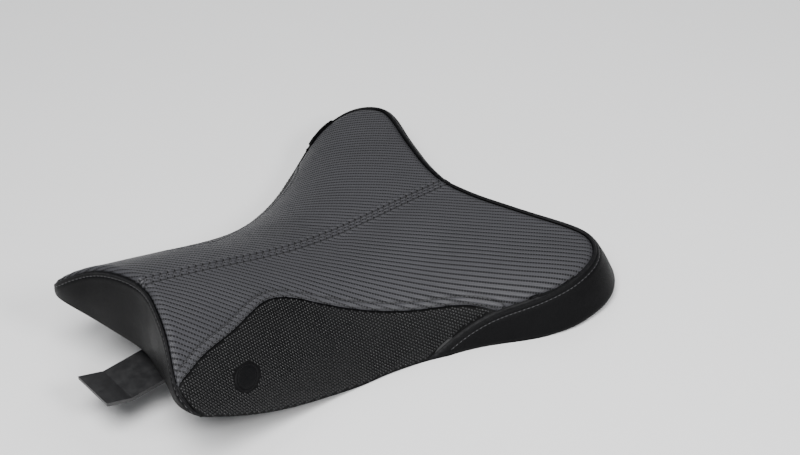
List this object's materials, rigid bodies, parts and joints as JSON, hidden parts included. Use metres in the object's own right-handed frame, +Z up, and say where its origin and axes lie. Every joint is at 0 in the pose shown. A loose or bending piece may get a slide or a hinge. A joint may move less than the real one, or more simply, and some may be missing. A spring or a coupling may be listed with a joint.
{
  "type": "motorcycle rider seat",
  "caption": "Sewn and padded rider's seat for a sport motorcycle, with a moulded pan, nose tongue, rubber bumpers and captive tail bolts.",
  "frame": {"origin": "middle of the bounding box at the height of the hem's lowest edge, on the seat's plane of symmetry", "axes": "+X points forward to the fuel tank, +Y to the rider's left, +Z up from the pan to the sitting surface"},
  "size_m": [0.4017, 0.339, 0.1108],
  "materials": {
    "top_vinyl": "satin charcoal vinyl with a fine woven emboss",
    "thigh_vinyl": "black vinyl with a raised grip pattern",
    "band_vinyl": "black fine-grain vinyl",
    "foam": "open-cell moulded foam",
    "gel": "soft gel",
    "tape": "woven backing tape",
    "pan": "moulded black plastic",
    "steel": "zinc-plated steel",
    "painted_steel": "black powder coat",
    "rubber": "black moulded rubber",
    "brass": "plain brass"
  },
  "bodies": {
    "seat": {"cover_top_left": "top_vinyl", "cover_top_right": "top_vinyl", "cover_thigh_left": "thigh_vinyl", "cover_thigh_right": "thigh_vinyl", "cover_rear_band_left": "band_vinyl", "cover_rear_band_right": "band_vinyl", "cover_nose_band": "band_vinyl", "cover_hem": "band_vinyl", "cover_staples": "steel", "gel_pad_left": "gel", "gel_pad_right": "gel", "centre_seam_tape": "tape", "foam_core": "foam", "base_pan": "pan", "rear_plate": "painted_steel", "front_tongue": "painted_steel", "rear_plate_screws": "steel", "tongue_screws": "steel", "threaded_inserts": "brass", "grommet_left": "rubber", "collar_left": "steel", "rear_bumper_left": "rubber", "middle_bumper_left": "rubber", "front_bumper_left": "rubber", "grommet_right": "rubber", "collar_right": "steel", "rear_bumper_right": "rubber", "middle_bumper_right": "rubber", "front_bumper_right": "rubber"},
    "left_washer": {"bolt_washer_left": "steel"},
    "left_bolt": {"captive_bolt_left": "steel"},
    "right_washer": {"bolt_washer_right": "steel"},
    "right_bolt": {"captive_bolt_right": "steel"}
  },
  "joints": [
    {"name": "left_bolt_lift", "type": "slide", "parent": "seat", "child": "left_washer", "axis": [0, 0, 1], "range_m": [0, 0.0054]},
    {"name": "left_bolt_turn", "type": "hinge", "parent": "left_washer", "child": "left_bolt", "pos_m": [-0.16805, 0.02, 0.008], "axis": [0, 0, 1], "continuous": true},
    {"name": "right_bolt_lift", "type": "slide", "parent": "seat", "child": "right_washer", "axis": [0, 0, 1], "range_m": [0, 0.0054]},
    {"name": "right_bolt_turn", "type": "hinge", "parent": "right_washer", "child": "right_bolt", "pos_m": [-0.16805, -0.02, 0.008], "axis": [0, 0, 1], "continuous": true}
  ]
}
